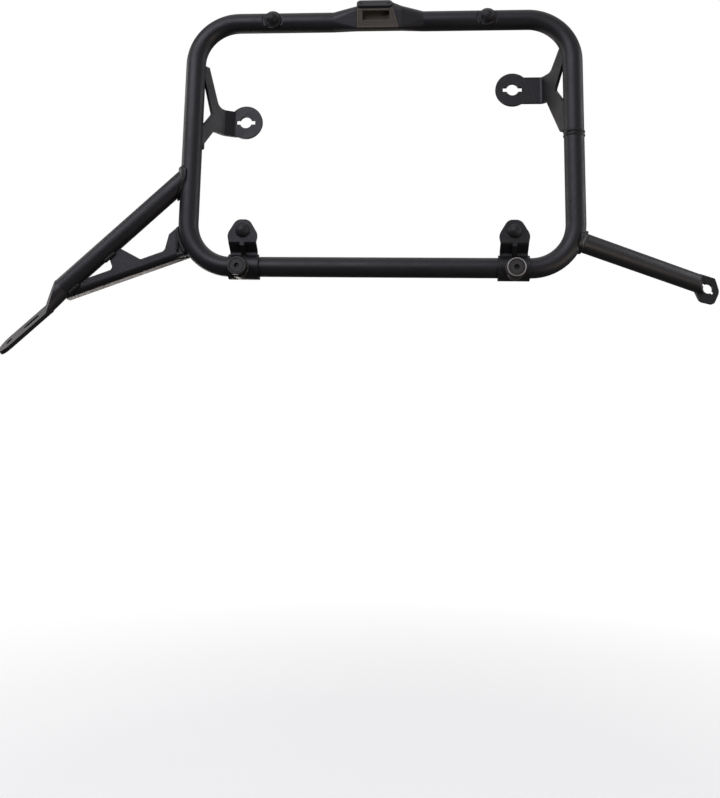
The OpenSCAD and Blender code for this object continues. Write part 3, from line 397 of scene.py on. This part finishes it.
# In mm: the bead's radius, the y of its middle, and how far its middle is outside the tube
BEAD_R = 1.9
BEAD_Y = -2.1
BEAD_OUT = 0.7


def bend_x(z, r):
    """X on the outer side of the loop's lower front bend, at height z and radius r."""
    return BEND_R - UPRIGHT_X - math.sqrt(r * r - (BEND_R - z) ** 2)


def plate(bm, outline, near, far):
    """A flat plate with an outline of (x, z) points, between two places along Y."""
    sides = [[bm.verts.new(Vector((x, y, z)) * MM) for x, z in outline] for y in (near, far)]
    for side in sides:
        bm.faces.new(side)
    for i in range(len(outline)):
        bm.faces.new((sides[0][i], sides[0][i - 1], sides[1][i - 1], sides[1][i]))


def toe_outline(top, low):
    """From the web's cut edge to the bend, down it, and back along the lower edge."""
    steps = 8
    reach = BEND_R + TUBE_R - TOE_SUNK
    end = low + TOE_SLOPE * TOE_RUN
    points = [(TOE_FRONT, top)]
    for i in range(steps + 1):
        z = top + (end - top) * i / steps
        points.append((bend_x(z, reach), z))
    return points + [(TOE_FRONT, low)]


def toe(bm):
    """The web's end and the folded edge's end."""
    plate(bm, toe_outline(TOE_TOP, TOE_LOW), -GUSSET_T / 2, GUSSET_T / 2)
    plate(bm, toe_outline(FOLD_TOP, FOLD_LOW), *FOLD_Y)


def toe_bead(bm):
    """A rippled weld bead along the toe and the bend."""
    steps, turns = 44, 10
    start, end = math.radians(8), math.radians(34)
    centre = Vector((BEND_R - UPRIGHT_X, BEAD_Y, BEND_R))
    rings = []
    for i in range(steps + 1):
        angle = start + (end - start) * i / steps
        out = Vector((-math.cos(angle), 0, -math.sin(angle)))
        middle = centre + out * (BEND_R + TUBE_R + BEAD_OUT)
        fade = min(1.0, 0.55 + 0.45 * min(i, steps - i) / 4)
        r = BEAD_R * fade * (1.0 + 0.07 * math.cos(math.pi * i / 2))
        ring = []
        for j in range(turns):
            turn = 2 * math.pi * j / turns
            spoke = out * math.cos(turn) + Vector((0, math.sin(turn), 0))
            ring.append(bm.verts.new((middle + r * spoke) * MM))
        rings.append(ring)
    for first, second in zip(rings, rings[1:]):
        for j in range(turns):
            bm.faces.new((first[j], first[j - 1], second[j - 1], second[j]))
    bm.faces.new(rings[0])
    bm.faces.new(rings[-1])


add_piece("gusset_toe", toe, sheet_coat)
add_piece("gusset_toe_bead", toe_bead, weld_coat)


# Studio

FLOOR_Z = -0.45


def camera_sees(tree, seen, other):
    """A colour for the camera's own rays, and another for light that bounces."""
    path = tree.nodes.new("ShaderNodeLightPath")
    mix = tree.nodes.new("ShaderNodeMix")
    mix.data_type = "RGBA"
    colours = [s for s in mix.inputs if s.type == "RGBA"]
    colours[0].default_value = (*other, 1)
    colours[1].default_value = (*seen, 1)
    tree.links.new(path.outputs["Is Camera Ray"], mix.inputs["Factor"])
    return [s for s in mix.outputs if s.type == "RGBA"][0]


def make_floor():
    """A pale floor that keeps the shadow near the object and runs out to plain white."""
    bpy.ops.mesh.primitive_plane_add(size=30, location=(0, 0, FLOOR_Z))
    floor = bpy.context.object
    floor.name = "floor"
    g = Graph("floor")
    g.set("Roughness", 1.0)
    g.set("Specular IOR Level", 0.0)
    g.set("Base Color", camera_sees(g.tree, (0.96, 0.96, 0.96), (0.10, 0.10, 0.10)))
    away = g.add("ShaderNodeVectorMath", operation="LENGTH")
    g.join(g.place(), away.inputs[0])
    fade = g.add("ShaderNodeMath", operation="MULTIPLY")
    g.join(g.span(away.outputs["Value"], 0.5, 1.0, 0.3, 0.9), fade.inputs[0])
    g.join(g.add("ShaderNodeLightPath").outputs["Is Camera Ray"], fade.inputs[1])
    glow = g.add("ShaderNodeEmission")
    blend = g.add("ShaderNodeMixShader")
    g.join(fade.outputs["Value"], blend.inputs[0])
    g.join(g.shader.outputs["BSDF"], blend.inputs[1])
    g.join(glow.outputs["Emission"], blend.inputs[2])
    g.join(blend.outputs["Shader"], g.tree.nodes["Material Output"].inputs["Surface"])
    floor.data.materials.append(g.material)


def make_world():
    """White behind the object, and a dim even light on it."""
    world = bpy.data.worlds.new("studio")
    bpy.context.scene.world = world
    world.use_nodes = True
    background = world.node_tree.nodes["Background"]
    colour = camera_sees(world.node_tree, (1.0, 1.0, 1.0), (0.24, 0.238, 0.252))
    world.node_tree.links.new(colour, background.inputs["Color"])
    background.inputs["Strength"].default_value = 1.0


def make_light(name, place, aim, size, power, colour=(1, 1, 1)):
    """A soft rectangular lamp that the camera doesn't see."""
    data = bpy.data.lights.new(name, "AREA")
    data.shape = "RECTANGLE"
    data.size, data.size_y = size
    data.energy = power
    data.color = colour
    light = bpy.data.objects.new(name, data)
    bpy.context.scene.collection.objects.link(light)
    light.location = place
    light.rotation_mode = "QUATERNION"
    light.rotation_quaternion = (Vector(aim) - Vector(place)).to_track_quat("-Z", "Y")
    light.visible_camera = False


def make_camera():
    """The photo's camera, fitted to the loop's four sides."""
    yaw, pitch, roll = (math.radians(a) for a in (-4.082, 9.178, 1.002))
    flat = math.cos(pitch)
    ahead = Vector((math.sin(yaw) * flat, math.cos(yaw) * flat, math.sin(pitch)))
    level = Vector((math.cos(yaw), -math.sin(yaw), 0))
    up = level.cross(ahead)
    right = level * math.cos(roll) + up * math.sin(roll)
    top = up * math.cos(roll) - level * math.sin(roll)
    data = bpy.data.cameras.new("camera")
    data.lens = 40.6
    data.sensor_width = 36
    data.shift_y = -0.1504
    data.clip_start = 0.01
    camera = bpy.data.objects.new("camera", data)
    bpy.context.scene.collection.objects.link(camera)
    turn = Matrix((right, top, -ahead)).transposed().to_4x4()
    camera.matrix_world = Matrix.Translation(Vector((39.5, -784.2, -137.4)) * MM) @ turn
    bpy.context.scene.camera = camera


make_floor()
make_world()
make_light("key", (-0.65, -1.25, 0.82), (0, 0, 0.1), (1.6, 1.0), 14, (0.86, 0.87, 1.0))
make_light("right_edge", (1.5, 0.2, 0.3), (0, 0, 0.1), (0.5, 1.2), 6, (0.95, 0.96, 1.0))
make_light("left_edge", (-1.3, 0.38, 0.36), (-0.1, 0, 0.05), (0.6, 0.9), 3.8, (1.0, 0.95, 0.9))
make_light("low_warm", (0.7, -0.5, -0.36), (-0.2, 0, 0), (0.6, 0.15), 1.5, (1.0, 0.86, 0.74))
make_light("low_back", (-0.7, 1.0, -0.32), (-0.2, 0, 0), (0.8, 0.2), 3, (1.0, 0.92, 0.87))
make_light("rim", (0.2, 1.3, 1.4), (0, 0, 0.1), (1.8, 0.7), 3)
make_light("floor_wash", (0, 0.2, 2.6), (0, 0.2, 0), (3.0, 3.0), 14)
make_camera()

bpy.context.scene.view_settings.view_transform = "Standard"
